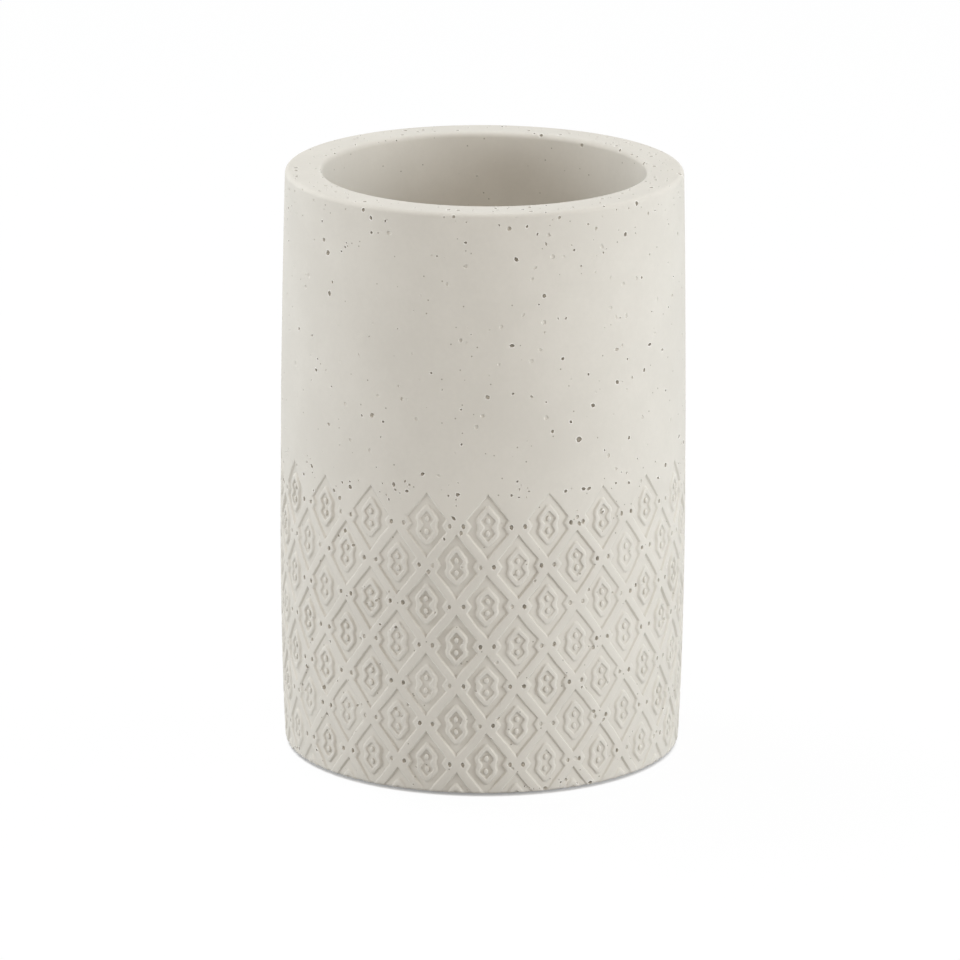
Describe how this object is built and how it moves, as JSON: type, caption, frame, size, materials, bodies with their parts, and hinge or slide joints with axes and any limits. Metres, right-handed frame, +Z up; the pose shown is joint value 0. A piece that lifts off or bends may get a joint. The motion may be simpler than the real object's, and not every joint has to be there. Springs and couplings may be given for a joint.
{
  "type": "toothbrush holder",
  "caption": "Round open tumbler of cast stone that holds toothbrushes upright on a vanity, with a sunk diamond lattice round its lower wall and a foam pad under it.",
  "frame": {"origin": "middle of the pad's underside, on the surface that the holder stands on, below the cup's axis", "axes": "+Z up along the cup's axis, -Y towards the viewer of the picture, where one column of diamonds is centred"},
  "size_m": [0.076, 0.076, 0.1105],
  "materials": {
    "cast_stone": "matte",
    "pad_foam": "matte"
  },
  "bodies": {
    "root": {"cup_body": "cast_stone", "base_pad": "pad_foam"}
  },
  "joints": []
}
